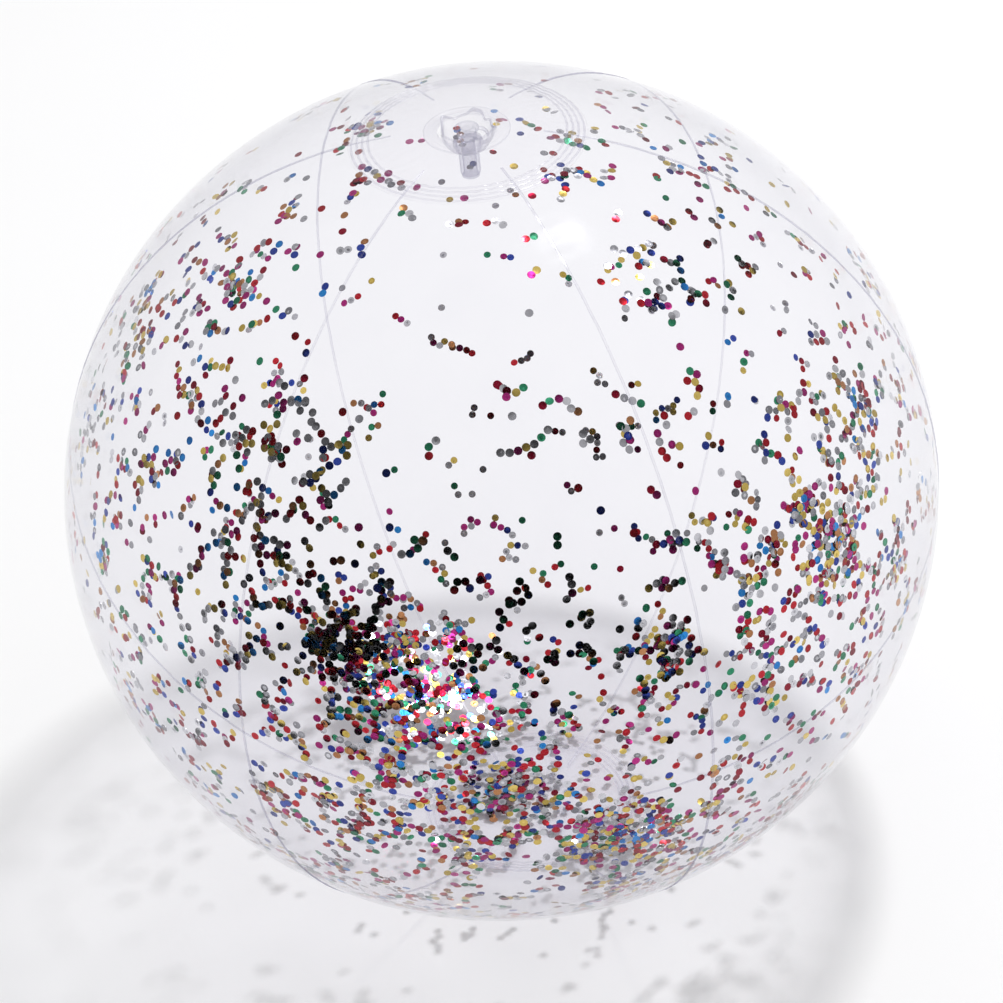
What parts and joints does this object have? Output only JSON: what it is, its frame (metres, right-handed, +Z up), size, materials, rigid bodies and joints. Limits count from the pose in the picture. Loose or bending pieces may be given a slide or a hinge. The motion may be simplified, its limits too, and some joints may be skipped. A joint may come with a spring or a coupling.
{
  "type": "inflatable beach ball",
  "caption": "Clear inflatable beach ball of welded film panels with end caps, a push-in stem valve with a tethered stopper, and loose metallic foil confetti inside.",
  "frame": {"origin": "middle of the flat patch that the ball rests on, straight under the bottom pole", "axes": "+Z up along the polar axis to the valve; a panel is centred on -Y and the weld seams are at 0, 60, 120, 180, 240 and 300 degrees from +X"},
  "size_m": [0.3256, 0.325, 0.3156],
  "materials": {
    "film": "clear glossy soft vinyl film",
    "weld": "clear vinyl, melted together and slightly milky",
    "valve": "clear moulded soft vinyl",
    "foil_red": "metallised foil, mirror bright, tinted red",
    "foil_magenta": "metallised foil, mirror bright, tinted magenta",
    "foil_gold": "metallised foil, mirror bright, tinted gold",
    "foil_green": "metallised foil, mirror bright, tinted green",
    "foil_blue": "metallised foil, mirror bright, tinted blue",
    "foil_silver": "metallised foil, mirror bright, tinted silver"
  },
  "bodies": {
    "ball": {"panel_1": "film", "panel_2": "film", "panel_3": "film", "panel_4": "film", "panel_5": "film", "panel_6": "film", "seam_weld_1": "weld", "seam_weld_2": "weld", "seam_weld_3": "weld", "seam_weld_4": "weld", "seam_weld_5": "weld", "seam_weld_6": "weld", "top_end_cap": "film", "bottom_end_cap": "film", "valve_flange": "valve", "valve_skirt": "valve"},
    "valve": {"valve_stem": "valve", "tether_ring": "valve", "tether_strap": "valve"},
    "stopper": {"stopper": "valve"},
    "flap": {"check_flap": "valve"},
    "confetti": {"confetti_red_1": "foil_red", "confetti_red_2": "foil_red", "confetti_red_3": "foil_red", "confetti_red_4": "foil_red", "confetti_red_5": "foil_red", "confetti_magenta_1": "foil_magenta", "confetti_magenta_2": "foil_magenta", "confetti_magenta_3": "foil_magenta", "confetti_magenta_4": "foil_magenta", "confetti_magenta_5": "foil_magenta", "confetti_gold_1": "foil_gold", "confetti_gold_2": "foil_gold", "confetti_gold_3": "foil_gold", "confetti_gold_4": "foil_gold", "confetti_gold_5": "foil_gold", "confetti_green_1": "foil_green", "confetti_green_2": "foil_green", "confetti_green_3": "foil_green", "confetti_green_4": "foil_green", "confetti_green_5": "foil_green", "confetti_blue_1": "foil_blue", "confetti_blue_2": "foil_blue", "confetti_blue_3": "foil_blue", "confetti_blue_4": "foil_blue", "confetti_blue_5": "foil_blue", "confetti_silver_1": "foil_silver", "confetti_silver_2": "foil_silver", "confetti_silver_3": "foil_silver", "confetti_silver_4": "foil_silver", "confetti_silver_5": "foil_silver"}
  },
  "joints": [
    {"name": "valve_pop", "type": "slide", "parent": "ball", "child": "valve", "axis": [0, 0, 1], "range_m": [0, 0.017], "deforming": ["valve_skirt"]},
    {"name": "stopper_pull", "type": "slide", "parent": "valve", "child": "stopper", "axis": [0, 0, 1], "range_m": [0, 0.009], "deforming": ["tether_strap"]},
    {"name": "flap_open", "type": "hinge", "parent": "valve", "child": "flap", "pos_m": [-0.0032, 0, 0.29627], "axis": [0, 1, 0], "range_deg": [0, 75], "stiffness_Nm_per_rad": 0.00002, "springref_deg": -11.46},
    {"name": "confetti_swirl", "type": "hinge", "parent": "ball", "child": "confetti", "pos_m": [0, 0, 0.157], "axis": [0, 0, 1], "continuous": true}
  ]
}
